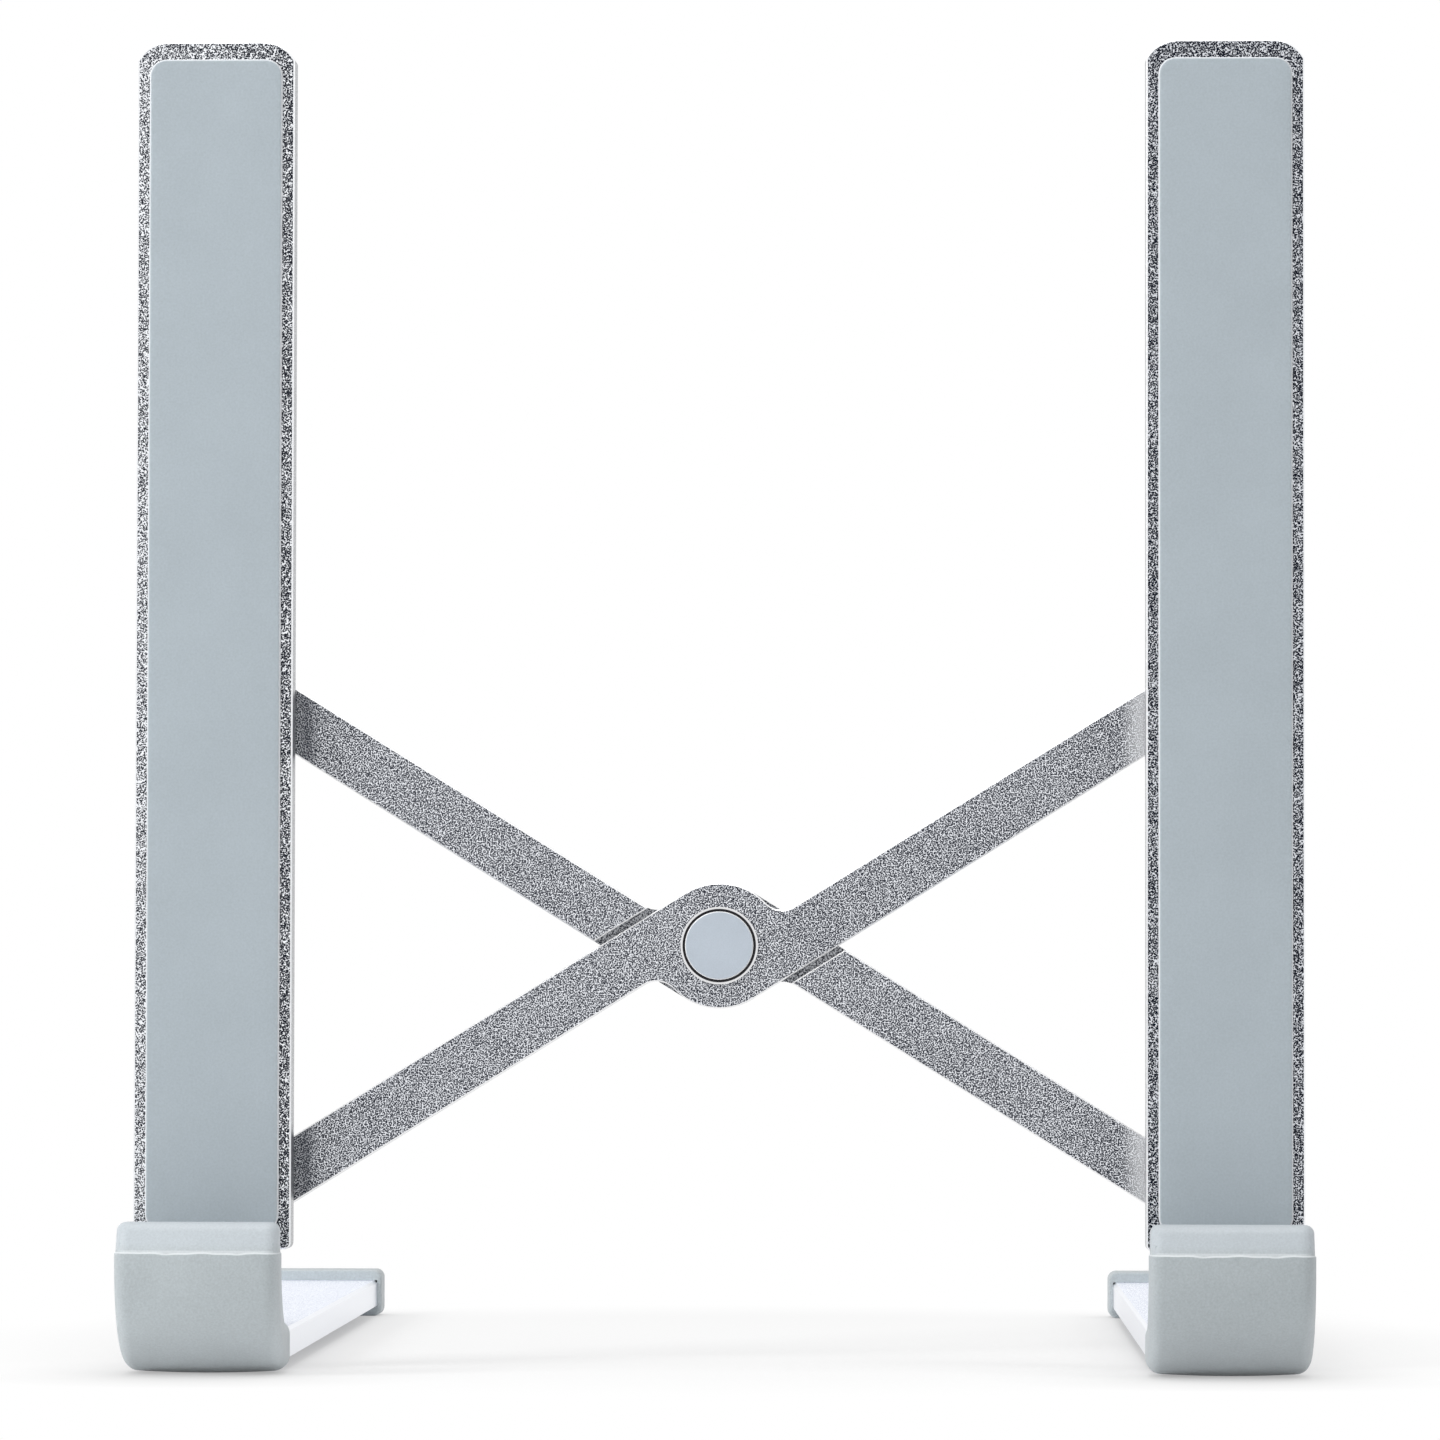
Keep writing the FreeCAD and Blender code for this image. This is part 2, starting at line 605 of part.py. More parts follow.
def hub_rivet():
    """Hub axle whose front head has a recess with a rim round it for the cap."""
    rim_front = BAR_FRONT - HUB_RIM_PROUD
    rim = rod(HUB_RIM, point(0, rim_front, HUB_Z), point(0, BAR_FRONT, HUB_Z))
    shaft = rod(HUB_SHAFT, point(0, BAR_FRONT, HUB_Z), point(0, BAR_BACK + HUB_COLLAR_THICK, HUB_Z))
    recess = rod(HUB_RECESS, point(0, rim_front, HUB_Z), point(0, rim_front + HUB_RECESS_DEPTH, HUB_Z))
    return rim.fuse(shaft).removeSplitter().cut(recess)


def hub_cap():
    """Disc with a softened edge that stands in the recess and a little proud of the rim."""
    rim_front = BAR_FRONT - HUB_RIM_PROUD
    front = rim_front - HUB_CAP_PROUD
    solid = rod(HUB_CAP, point(0, front, HUB_Z), point(0, rim_front + HUB_RECESS_DEPTH, HUB_Z))
    return solid.makeFillet(HUB_CAP_EDGE, edges_where(solid, lambda p: near(p.y, front)))


def hub_collar():
    """Ring pressed on the axle behind the bars."""
    return ring(
        HUB_COLLAR, HUB_SHAFT + 2 * SEATED,
        point(0, BAR_BACK, HUB_Z), point(0, BAR_BACK + HUB_COLLAR_THICK, HUB_Z),
    )


def hub_washer():
    """Thin washer between the two laps."""
    half = HUB_WASHER_THICK / 2
    return ring(
        HUB_WASHER, HUB_SHAFT + 2 * SEATED,
        point(0, BAR_MIDDLE - half, HUB_Z), point(0, BAR_MIDDLE + half, HUB_Z),
    )


# Pieces that come once, at the crossing
pieces = {
    "front_cross_bar": front_cross_bar(),
    "rear_cross_bar": rear_cross_bar(),
    "hub_rivet": hub_rivet(),
    "hub_cap": hub_cap(),
    "hub_collar": hub_collar(),
    "hub_washer": hub_washer(),
}

# Pieces that each side has, made once and set on both arm centre lines
side_pieces = {
    "arm": arm(),
    "arm_pad": arm_pad(),
    "hinge_knuckle": hinge_knuckle(),
    "knuckle_set_screws": knuckle_set_screws(),
    "lower_pivot_pin": lower_pivot_pin(),
    "lower_pivot_washer": lower_pivot_washer(),
    "slider": slider(),
    "slider_rivet": slider_rivet(),
    "leg": leg(),
    "front_boot": front_boot(),
    "rear_boot": rear_boot(),
    "hinge_bracket": hinge_bracket(),
    "bracket_screws": bracket_screws(),
    "hinge_pin": hinge_pin(),
    "friction_washers": friction_washers(),
}
for side_name, side_x in (("left", -ARM_X), ("right", ARM_X)):
    for piece_name, piece in side_pieces.items():
        pieces[side_name + "_" + piece_name] = piece.translated(point(side_x, 0, 0))

os.makedirs("parts", exist_ok=True)
for name, shape in pieces.items():
    shape.translated(point(0, SHIFT_Y, 0)).exportStep("parts/" + name + ".step")
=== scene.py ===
import math

import bpy
import numpy as np
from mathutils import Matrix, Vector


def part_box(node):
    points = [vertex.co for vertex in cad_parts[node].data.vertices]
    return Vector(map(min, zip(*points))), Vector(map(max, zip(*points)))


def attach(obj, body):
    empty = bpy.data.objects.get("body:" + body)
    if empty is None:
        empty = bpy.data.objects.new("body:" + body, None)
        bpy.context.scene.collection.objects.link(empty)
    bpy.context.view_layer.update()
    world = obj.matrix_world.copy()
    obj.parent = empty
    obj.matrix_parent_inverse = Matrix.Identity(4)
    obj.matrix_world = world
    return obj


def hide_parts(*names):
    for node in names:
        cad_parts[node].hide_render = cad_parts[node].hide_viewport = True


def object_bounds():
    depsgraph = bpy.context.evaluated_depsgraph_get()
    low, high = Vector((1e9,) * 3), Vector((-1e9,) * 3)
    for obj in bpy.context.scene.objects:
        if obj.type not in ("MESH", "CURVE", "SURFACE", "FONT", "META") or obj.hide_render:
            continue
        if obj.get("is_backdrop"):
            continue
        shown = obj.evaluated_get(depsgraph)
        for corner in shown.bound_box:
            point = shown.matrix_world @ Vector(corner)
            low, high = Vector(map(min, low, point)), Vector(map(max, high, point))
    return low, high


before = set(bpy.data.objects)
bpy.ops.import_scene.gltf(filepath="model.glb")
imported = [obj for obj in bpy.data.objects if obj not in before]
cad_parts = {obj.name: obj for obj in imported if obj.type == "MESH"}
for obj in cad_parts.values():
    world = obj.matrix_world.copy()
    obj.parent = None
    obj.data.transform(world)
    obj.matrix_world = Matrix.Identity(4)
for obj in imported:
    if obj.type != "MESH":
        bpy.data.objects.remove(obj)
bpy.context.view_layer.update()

# Arms
# Two flat aluminium bars, blasted with fine beads and silver anodised, so that the skin is a bright grain.
# The front edges are cut after blasting and shine; the slider track is milled up the back.

BEADS_PER_METRE = 3800.0
BEAD_SCATTER = 0.8
BEAD_DEPTH = 0.00006
ARM_PITTING = 0.3
ARM_CUT = (0.90, 0.91, 0.93)
ARM_FLANK = ((0.21, 0.22, 0.235), (0.58, 0.59, 0.61))
# The two arms are one metal: the first tones below are a paler painted lit copy for the left arm, the second a
# darker painted shaded copy for the right.
PAINTED_LIT_ARM_TONES = ((0.012, 0.014, 0.022), (0.155, 0.165, 0.185), (0.88, 0.90, 0.93))
PAINTED_SHADED_ARM_TONES = ((0.004, 0.006, 0.014), (0.072, 0.082, 0.10), (0.70, 0.72, 0.76))


def lay(tree, kind, inputs=(), **choices):
    """Adds one node to a finish; inputs are pairs of a socket and a value or another node's output."""
    made = tree.nodes.new(kind)
    for name, value in choices.items():
        setattr(made, name, value)
    for socket, value in inputs:
        if isinstance(value, bpy.types.NodeSocket):
            tree.links.new(value, made.inputs[socket])
        else:
            made.inputs[socket].default_value = value
    return made


def steps(tree, factor, *stops):
    """A colour ramp through stops of a place from 0 to 1 and a colour."""
    made = lay(tree, "ShaderNodeValToRGB", [("Fac", factor)])
    places = made.color_ramp.elements
    while len(places) < len(stops):
        places.new(0.5)
    for element, (place, colour) in zip(places, stops):
        element.position = place
        element.color = (*colour, 1.0)
    return made.outputs["Color"]


def spread(tree, value, low, high, at_low=0.0, at_high=1.0, **choices):
    """Carries a value from the range low to high over to at_low to at_high, and stops at both ends."""
    ends = [("From Min", low), ("From Max", high), ("To Min", at_low), ("To Max", at_high)]
    return lay(tree, "ShaderNodeMapRange", [("Value", value), *ends], **choices).outputs["Result"]


def between(tree, share, one, other):
    """A value on the way from one to the other, by a share from 0 to 1."""
    return lay(tree, "ShaderNodeMix", [("Factor", share), ("A", one), ("B", other)]).outputs["Result"]


def blend(tree, share, under, over):
    """One colour laid over another by a share from 0 to 1."""
    return lay(tree, "ShaderNodeMix", [(0, share), (6, under), (7, over)], data_type="RGBA").outputs[2]


def calc(tree, operation, *values, **choices):
    """One sum, such as ADD or COMPARE, of numbers and other nodes' outputs."""
    return lay(tree, "ShaderNodeMath", enumerate(values), operation=operation, **choices).outputs["Value"]


def clouds(tree, spot, scale, detail, roughness=0.5):
    """Noise of a fineness in the metre, with more detail in finer layers."""
    inputs = [("Vector", spot), ("Scale", scale), ("Detail", detail), ("Roughness", roughness)]
    return lay(tree, "ShaderNodeTexNoise", inputs).outputs["Fac"]


def split(tree, vector):
    """The three parts of a place or a direction, by the names X, Y and Z."""
    return lay(tree, "ShaderNodeSeparateXYZ", [("Vector", vector)]).outputs


def emboss(tree, shader, strength, depth, height):
    """Fine relief on the skin, of a depth in metres."""
    relief = lay(tree, "ShaderNodeBump", [("Strength", strength), ("Distance", depth), ("Height", height)])
    tree.links.new(relief.outputs["Normal"], shader.inputs["Normal"])


def grey(value):
    return (value, value, value)


def start_finish(name):
    """A new material with its node tree, its shader and the object's own coordinates."""
    made = bpy.data.materials.new(name)
    made.use_nodes = True
    tree = made.node_tree
    shader = tree.nodes["Principled BSDF"]
    place = lay(tree, "ShaderNodeTexCoord")
    return made, tree, shader, place


def blasted_aluminium(name, tones, cut, face, pitting, flank=None, shaded_lap_depths=None, ends=None, painted_light_slope=None):
    """Metal grain: each bead left a small dent, dark and dull in the middle and pale at its rim, with a
    lightness of its own, and a broad noise clouds the skin. tones are its deep, middle and pale colour.
    Faces that don't look along the axis face were cut later and are smooth and bright.
    flank, two tones, gives the upright sides a grain of their own and leaves the bright cut to the bevels.
    shaded_lap_depths, a pair of depths, marks the sunk lap floors between them, which are painted half-way to
    nearly black: painted shade in the laps. ends, half the length seen between the arms, sets a painted shadow
    of the left arm on the front near the left end and a painted reflection of the right arm's lit flank near
    the right end. painted_light_slope is a left and a right edge, and how much paler or, below zero, darker
    the
    skin is painted at each: a painted slope of light across the part."""
    made, tree, shader, place = start_finish(name)
    spot = place.outputs["Object"]
    at = split(tree, spot)
    lean = split(tree, place.outputs["Normal"])
    beads = lay(
        tree, "ShaderNodeTexVoronoi",
        [("Vector", spot), ("Scale", BEADS_PER_METRE), ("Randomness", BEAD_SCATTER)],
    )
    own = lay(tree, "ShaderNodeSeparateColor", [("Color", beads.outputs["Color"])]).outputs["Red"]
    dents = spread(tree, beads.outputs["Distance"], 0.25, 0.75)
    shift = spread(tree, clouds(tree, spot, 45.0, 3.0), 0.3, 0.7, -0.02, 0.02)
    # Painted light: a slope of paler or darker tone from the given left edge to the right one.
    if painted_light_slope:
        shift = calc(tree, "ADD", shift, spread(tree, at["X"], *painted_light_slope))
    grain = spread(tree, calc(tree, "ADD", between(tree, 0.12, dents, own), shift), 0.235, 0.835)
    level = calc(tree, "ABSOLUTE", lean[face])
    edge = steps(tree, level, (0.9, grey(1.0)), (0.95, grey(0.0)))
    deep, middle, pale = tones
    skin_tone = steps(tree, grain, (0.27, deep), (0.52, middle), (0.77, pale))
    skin_tone = blend(tree, edge, skin_tone, (*cut, 1.0))
    if flank:
        flank_tone = steps(tree, grain, (0.25, flank[0]), (0.8, flank[1]))
        skin_tone = blend(tree, spread(tree, level, 0.4, 0.35), skin_tone, flank_tone)
    # Painted shade: the sunk lap floors are painted half-way to nearly black.
    if shaded_lap_depths:
        sunk = calc(tree, "COMPARE", at["Y"], (shaded_lap_depths[0] + shaded_lap_depths[1]) / 2, (shaded_lap_depths[1] - shaded_lap_depths[0]) / 2)
        painted_lap_shade = calc(tree, "SUBTRACT", sunk, edge, use_clamp=True)
        skin_tone = blend(tree, calc(tree, "MULTIPLY", painted_lap_shade, 0.5), skin_tone, (0.05, 0.053, 0.06, 1.0))
    # Painted shadow of the left arm near the left ends of the front, and painted reflection of the right arm's
    # lit flank near the right ends.
    if ends:
        along = spread(tree, at["X"], -ends, ends)
        front = spread(tree, lean["Y"], -0.9, -0.95)
        painted_arm_shadow = steps(tree, along, (0.0, grey(0.25)), (0.013, grey(0.65)), (0.028, grey(0.0)))
        painted_arm_reflection = steps(tree, along, (0.972, grey(0.0)), (1.0, grey(0.75)))
        for amount, tone in ((painted_arm_shadow, (0.06, 0.065, 0.08, 1.0)), (painted_arm_reflection, (0.93, 0.94, 0.96, 1.0))):
            skin_tone = blend(tree, calc(tree, "MULTIPLY", amount, front), skin_tone, tone)
    tree.links.new(skin_tone, shader.inputs["Base Color"])
    dull = between(tree, edge, spread(tree, grain, 0.2, 0.8, 0.62, 0.4), 0.28)
    tree.links.new(dull, shader.inputs["Roughness"])
    emboss(tree, shader, pitting, BEAD_DEPTH, grain)
    shader.inputs["Metallic"].default_value = 1.0
    return made


def dress(node, material):
    """Gives a solid of the frame its finish."""
    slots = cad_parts[node].data.materials
    slots.clear()
    slots.append(material)


# Painted light: across the left arm the tone is painted darker towards its right edge, and the right arm is
# painted darker all over.
left_arm_low, left_arm_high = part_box("left_arm")
painted_lit_arm = blasted_aluminium(
    "left_arm_silver_painted_lit", PAINTED_LIT_ARM_TONES, ARM_CUT, "Y", ARM_PITTING, ARM_FLANK,
    painted_light_slope=(left_arm_low.x, left_arm_high.x, 0.01, -0.125),
)
dress("left_arm", painted_lit_arm)
right_arm_low, right_arm_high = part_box("right_arm")
painted_shaded_arm = blasted_aluminium(
    "right_arm_silver_painted_shade", PAINTED_SHADED_ARM_TONES, ARM_CUT, "Y", ARM_PITTING, ARM_FLANK,
    painted_light_slope=(right_arm_low.x, right_arm_high.x, -0.08, -0.09),
)
dress("right_arm", painted_shaded_arm)

# Arm pads
# Strips of blue-grey silicone rubber, moulded with a soft front edge and glued into the recess in the arm.
# They stand a little proud, so that the laptop leans on rubber and never on the metal.

SIDES = ("left", "right")
PAD_EDGE = 0.00055
PAD_EDGE_RINGS = 8
PAD_FACE_RINGS = 12
PAD_CROWN = 0.00012
PAD_CROWN_FALL = 0.002
PAD_CORNER = 0.0032
PAD_CRISP = 50
PAD_COLOUR = (0.413, 0.47, 0.51)


def ring_pattern(along, bend, across):
    """The places round a rectangle with round corners, as four arrays with one value a point: the share of
    the half width, the share of the way from the near to the far side, and the two parts of the direction
    of the corner's arc. along counts the points on the near and far sides, across those on the flanks and
    bend those of a corner."""
    sweep = np.linspace(-1.0, 1.0, along)
    climb = np.linspace(0.0, 1.0, across)
    turn = np.linspace(0.0, math.pi / 2, bend + 2)[1:-1]
    sine = np.sin(turn)
    cosine = np.cos(turn)
    flat = np.ones(along)
    flank = np.ones(across)
    arc = np.ones(bend)
    width = np.concatenate([sweep, arc, flank, arc, -sweep, -arc, -flank, -arc])
    depth = np.concatenate([0 * flat, 0 * arc, climb, arc, flat, arc, 1 - climb, 0 * arc])
    out_x = np.concatenate([0 * flat, sine, flank, cosine, 0 * flat, -sine, -flank, -cosine])
    out_d = np.concatenate([-flat, -cosine, 0 * flank, sine, flat, cosine, 0 * flank, -sine])
    return width[::-1], depth[::-1], out_x[::-1], out_d[::-1]


def rings(pattern, centre_x, near, far, half, corner, inset, crown=0.0, swell=None):
    """A stack of rounded rectangles, one for each station of a path. near and far are the (y, z) of the two
    long sides, half is half the width, corner the corner radius and inset draws the whole ring in. crown
    sets the edges of the near face back, and swell(z, share of the half width) lifts the skin outwards."""
    width, depth, out_x, out_d = pattern
    reach = np.linalg.norm(far - near, axis=1)
    course = (far - near) / reach[:, None]
    arc = np.clip(corner - inset, 0.00008, None)[:, None]
    x = ((half - inset)[:, None] - arc) * width + arc * out_x
    low = inset[:, None] + arc
    high = (reach - inset)[:, None] - arc
    d = low + (high - low) * depth + arc * out_d + crown * width ** 2 * (1 - depth)
    if swell is not None:
        height = near[:, 1:2] + course[:, 1:2] * d
        lift = swell(height, width)
        x = x + lift * out_x
        d = d + lift * out_d
    y = near[:, 0:1] + course[:, 0:1] * d
    z = near[:, 1:2] + course[:, 1:2] * d
    return np.stack([centre_x + x, y, z], axis=-1)


def skin(name, stack, crisp):
    """One closed skin over a stack of rings: quads join each ring to the next, and a flat face closes each
    end. Edges sharper than crisp degrees stay crisp."""
    count, around = stack.shape[:2]
    corner = np.arange(count * around).reshape(count, around)
    after = np.roll(corner, -1, axis=1)
    walls = np.stack([corner[:-1], after[:-1], after[1:], corner[1:]], axis=-1).reshape(-1, 4)
    closed_ends = [corner[0, ::-1].tolist(), corner[-1].tolist()]
    mesh = bpy.data.meshes.new(name)
    mesh.from_pydata(stack.reshape(-1, 3).tolist(), [], walls.tolist() + closed_ends)
    mesh.polygons.foreach_set("use_smooth", np.ones(len(mesh.polygons), bool))
    mesh.set_sharp_from_angle(angle=math.radians(crisp))
    mesh.validate()
    piece = bpy.data.objects.new(name, mesh)
    bpy.context.collection.objects.link(piece)
    return piece


def level_path(y, z):
    """Points (y, z) that all lie at one height."""
    return np.stack([y, np.full(y.size, z)], axis=1)


def arm_pad(name, node):
    """Rings that grow from the middle of the face to its edge, round over it in a quarter circle and run
    down to the glued back; the face is a hair higher in the middle and falls off near the edge."""
    low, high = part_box(node)
    half = (high.x - low.x) / 2
    turn = np.linspace(0.1, math.pi / 2, PAD_EDGE_RINGS)
    face = np.linspace(0.92 * half, PAD_EDGE, PAD_FACE_RINGS)
    inward = np.concatenate([face, PAD_EDGE * (1 - np.sin(turn))])
    over = np.concatenate([0 * face, PAD_EDGE * (1 - np.cos(turn))])
    settle = PAD_CROWN * np.exp(-inward / PAD_CROWN_FALL)
    y = np.concatenate([low.y + over + settle, [high.y]])
    inward = np.concatenate([inward, [0.0]])
    stack = rings(
        ring_pattern(12, 8, 40), (low.x + high.x) / 2, level_path(y, low.z), level_path(y, high.z),
        np.full(y.size, half), PAD_CORNER, inward,
    )
    return skin(name, stack, PAD_CRISP)


def silicone(name, colour, cloudy, thin_edge, parting=None):
    """Matt moulded rubber: a colour with slow cloudy drift and a fine speckle, dull, with the fine skin
    texture of a blasted mould and faint rubbed patches that are a little smoother. Where the skin turns away
    from the front, thin_edge mixes in a pale painted sheen for the light that the rounded edges catch.
    Above the height parting the skin is painted paler and bluer, a painted sheen of the light from above on
    the leaning lip, and the upward ledge of the parting step gets a painted white highlight."""
    made, tree, shader, place = start_finish(name)
    spot = place.outputs["Object"]
    lean = split(tree, place.outputs["Normal"])
    cloud = clouds(tree, spot, 55.0, 4.0, 0.6)
    speck = clouds(tree, spot, 2500.0, 2.0)
    darker = tuple(value * (1 - cloudy) for value in colour)
    lighter = tuple(value * (1 + cloudy) for value in colour)
    skin_tone = steps(tree, between(tree, 0.6, cloud, speck), (0.32, darker), (0.68, lighter))
    # Painted sheen: faces that turn away from the front get a pale tone for the light the rounded edges catch.
    turned = spread(tree, lean["Y"], -0.95, -0.55, 0.0, thin_edge)
    skin_tone = blend(tree, turned, skin_tone, (0.92, 0.94, 0.97, 1.0))
    # Painted sheen: the lip above the parting is painted paler and bluer, and the upward ledge of the step
    # gets a painted white highlight.
    if parting:
        height = split(tree, spot)["Z"]
        painted_top_sheen = spread(tree, height, parting, parting + 0.002, 0.0, 0.16)
        skin_tone = blend(tree, painted_top_sheen, skin_tone, (0.74, 0.80, 0.90, 1.0))
        painted_ledge_highlight = spread(tree, lean["Z"], 0.3, 0.6, 0.0, 0.55)
        close = calc(tree, "COMPARE", height, parting, 0.0006)
        skin_tone = blend(tree, calc(tree, "MULTIPLY", painted_ledge_highlight, close), skin_tone, (0.84, 0.87, 0.89, 1.0))
    tree.links.new(skin_tone, shader.inputs["Base Color"])
    tree.links.new(spread(tree, cloud, 0.3, 0.7, 0.56, 0.46), shader.inputs["Roughness"])
    emboss(tree, shader, 0.2, 0.00005, speck)
    return made


# The pads take the painted edge sheen at full strength.
pad_finish = silicone("pad_blue_grey_silicone", PAD_COLOUR, 0.07, 1.0)
for side in SIDES:
    pad = arm_pad(side + "_pad_strip", side + "_arm_pad")
    pad.data.materials.append(pad_finish)
    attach(pad, side + "_arm")
    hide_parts(side + "_arm_pad")

# Legs
# Flat aluminium bars, blasted and anodised like the arms, bent up at the front into the hook inside the boot.
# Their long top edges are cut to a narrow bright chamfer, and the hinge bracket is screwed on behind the seat.

# The legs are the arms' metal, but these tones are painted far paler: a painted reflection of the white room
# on the flat tops.
PAINTED_SHEEN_LEG_TONES = ((0.54, 0.57, 0.66), (0.75, 0.78, 0.88), (0.93, 0.96, 1.0))
LEG_CUT = (0.88, 0.90, 0.95)
LEG_PITTING = 0.1

painted_sheen_leg_finish = blasted_aluminium("leg_silver_painted_sheen", PAINTED_SHEEN_LEG_TONES, LEG_CUT, "Z", LEG_PITTING)
for side in SIDES:
    dress(side + "_leg", painted_sheen_leg_finish)

# Front boots
# Grey silicone socks pulled over the hooks, which sweep up from the floor in one large bend. The lip above
# the parting line leans back, and the skin has a fine uneven step all round where the two halves of the
# mould met.

BOOT_CORNER = 0.0026
BOOT_LIP_ROUND = 0.0016
BOOT_RIM_ROUND = 0.0006
BOOT_STEP = 0.00022
BOOT_STEP_RISE = 0.0003
BOOT_RIDGE = 0.0231
BOOT_RIDGE_BAND = 0.0009
BOOT_RIDGE_CLEAR = 0.001
BOOT_LEAN = 0.003
BOOT_NOSE = 0.021
BOOT_SEAT = 0.0097
BOOT_BACK_WALL = 0.0092
BOOT_CROOK = 0.0117
BOOT_CROWN = 0.00035
BOOT_CRISP = 55
HOOK_WALL = 0.00198
HOOK_UNDER = 0.00228
HOOK_SEAT = 0.00792
HOOK_THICK = 0.00564
HOOK_HALF = 0.01442
HOOK_CORNER = 0.0002
HOOK_TOP = 0.02502
HOOK_BEND = 0.01338
# The two boots are one rubber: the first colour below is a paler painted lit copy for the left boot, the
# second a darker painted shaded copy for the right.
PAINTED_LIT_BOOT_COLOUR = (0.46, 0.507, 0.527)
PAINTED_SHADED_BOOT_COLOUR = (0.413, 0.456, 0.475)
BOOT_CLOUDY = 0.11
BOOT_PAINTED_EDGE_SHEEN = 0.15


def hook_path(heights, front, lean, ridge, back, nose, crook, under, seat, rear):
    """The two sides of a hook as (y, z) points at the same stations: down the lip, which leans back by lean
    above the ridge, round the nose outside and the crook inside, both quarter circles, and straight along
    the base to the rear."""
    turn = np.linspace(0.0, math.pi / 2, 34)[1:-1]
    run = np.linspace(0.0, 1.0, 10)
    outer_y = front + lean * np.clip((heights - ridge) / (heights[0] - ridge), 0.0, None)
    outer = np.concatenate([
        np.stack([outer_y, heights], axis=1),
        np.stack([front + nose * (1 - np.cos(turn)), under + nose * (1 - np.sin(turn))], axis=1),
        level_path(front + nose + (rear - front - nose) * run, under),
    ])
    floor = under + nose
    inner_z = seat + crook + (heights - floor) * (heights[0] - seat - crook) / (heights[0] - floor)
    inner = np.concatenate([
        np.stack([np.full(heights.size, back), inner_z], axis=1),
        np.stack([back + crook * (1 - np.cos(turn)), seat + crook * (1 - np.sin(turn))], axis=1),
        level_path(back + crook + (rear - back - crook) * run, seat),
    ])
    return outer, inner


def quarter_inset(run, radius):
    """How far a ring is drawn in at a run along an edge that is rounded by a quarter circle."""
    return radius - np.sqrt(radius ** 2 - run ** 2)


def mould_step(z, share):
    """Full thickness below the parting height and a small smooth step in above it; the line wanders from
    side to side as the sum of two sine waves."""
    wander = 0.00012 * np.sin(7 * share + 1) + 0.00008 * np.sin(17 * share)
    rise = np.clip((BOOT_RIDGE + wander - z) / BOOT_STEP_RISE + 0.5, 0.0, 1.0)
    return BOOT_STEP * rise * rise * (3 - 2 * rise)


def front_boot(name, node):
    """The outer skin runs from the rounded lip down, round the nose and back to the rim; from there the same
    hook path, thinner and taken backwards, lines the pocket that holds the leg."""
    low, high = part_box(node)
    middle = (low.x + high.x) / 2
    top = high.z
    lip_foot = top - BOOT_LIP_ROUND
    heights = np.concatenate([
        lip_foot + BOOT_LIP_ROUND * np.sin(np.linspace(math.pi / 2, 0.0, 10)),
        np.linspace(lip_foot, BOOT_RIDGE + BOOT_RIDGE_CLEAR, 9)[1:],
        np.linspace(BOOT_RIDGE + BOOT_RIDGE_BAND, BOOT_RIDGE - BOOT_RIDGE_BAND, 21),
        np.linspace(BOOT_RIDGE - BOOT_RIDGE_CLEAR, BOOT_NOSE + BOOT_STEP, 4),
    ])
    near, far = hook_path(
        heights, low.y + BOOT_STEP, BOOT_LEAN, BOOT_RIDGE, low.y + BOOT_BACK_WALL,
        BOOT_NOSE, BOOT_CROOK, BOOT_STEP, BOOT_SEAT, high.y,
    )
    over_lip = np.clip(near[:, 1] - lip_foot, 0.0, BOOT_LIP_ROUND)
    over_rim = np.clip(near[:, 0] - (high.y - BOOT_RIM_ROUND), 0.0, BOOT_RIM_ROUND)
    inset = quarter_inset(over_lip, BOOT_LIP_ROUND) + quarter_inset(over_rim, BOOT_RIM_ROUND)
    half = np.full(len(near), (high.x - low.x) / 2 - BOOT_STEP)
    pattern = ring_pattern(33, 9, 9)
    outside = rings(pattern, middle, near, far, half, BOOT_CORNER, inset, BOOT_CROWN, mould_step)
    hook_front = low.y + HOOK_WALL
    hook_nose = HOOK_BEND + HOOK_THICK
    hook_near, hook_far = hook_path(
        np.linspace(HOOK_TOP, HOOK_UNDER + hook_nose, 4), hook_front, 0.0, 0.0, hook_front + HOOK_THICK,
        hook_nose, HOOK_BEND, HOOK_UNDER, HOOK_SEAT, high.y,
    )
    none = np.zeros(len(hook_near))
    pocket = rings(pattern, middle, hook_near, hook_far, none + HOOK_HALF, HOOK_CORNER, none)
    return skin(name, np.concatenate([outside, pocket[::-1]]), BOOT_CRISP)


painted_lit_boot = silicone(
    "boot_grey_silicone_painted_lit", PAINTED_LIT_BOOT_COLOUR, BOOT_CLOUDY, BOOT_PAINTED_EDGE_SHEEN, BOOT_RIDGE,
)
painted_shaded_boot = silicone(
    "boot_grey_silicone_painted_shade", PAINTED_SHADED_BOOT_COLOUR, BOOT_CLOUDY, BOOT_PAINTED_EDGE_SHEEN, BOOT_RIDGE,
)
for side, boot_finish in zip(SIDES, (painted_lit_boot, painted_shaded_boot)):
    boot = front_boot(side + "_hook_boot", side + "_front_boot")
    boot.data.materials.append(boot_finish)
    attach(boot, side + "_leg")
    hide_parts(side + "_front_boot")

# Rear boots
# Short silicone caps pushed over the ends of the legs, of the same grey rubber as the front boots.
# A low lip stops the cap on top of the leg, and the thick underside is the rear foot.

CAP_ROUND = 0.0012
CAP_RIM_ROUND = 0.0006
CAP_CORNER = 0.0018
CAP_POCKET_END = 0.00198


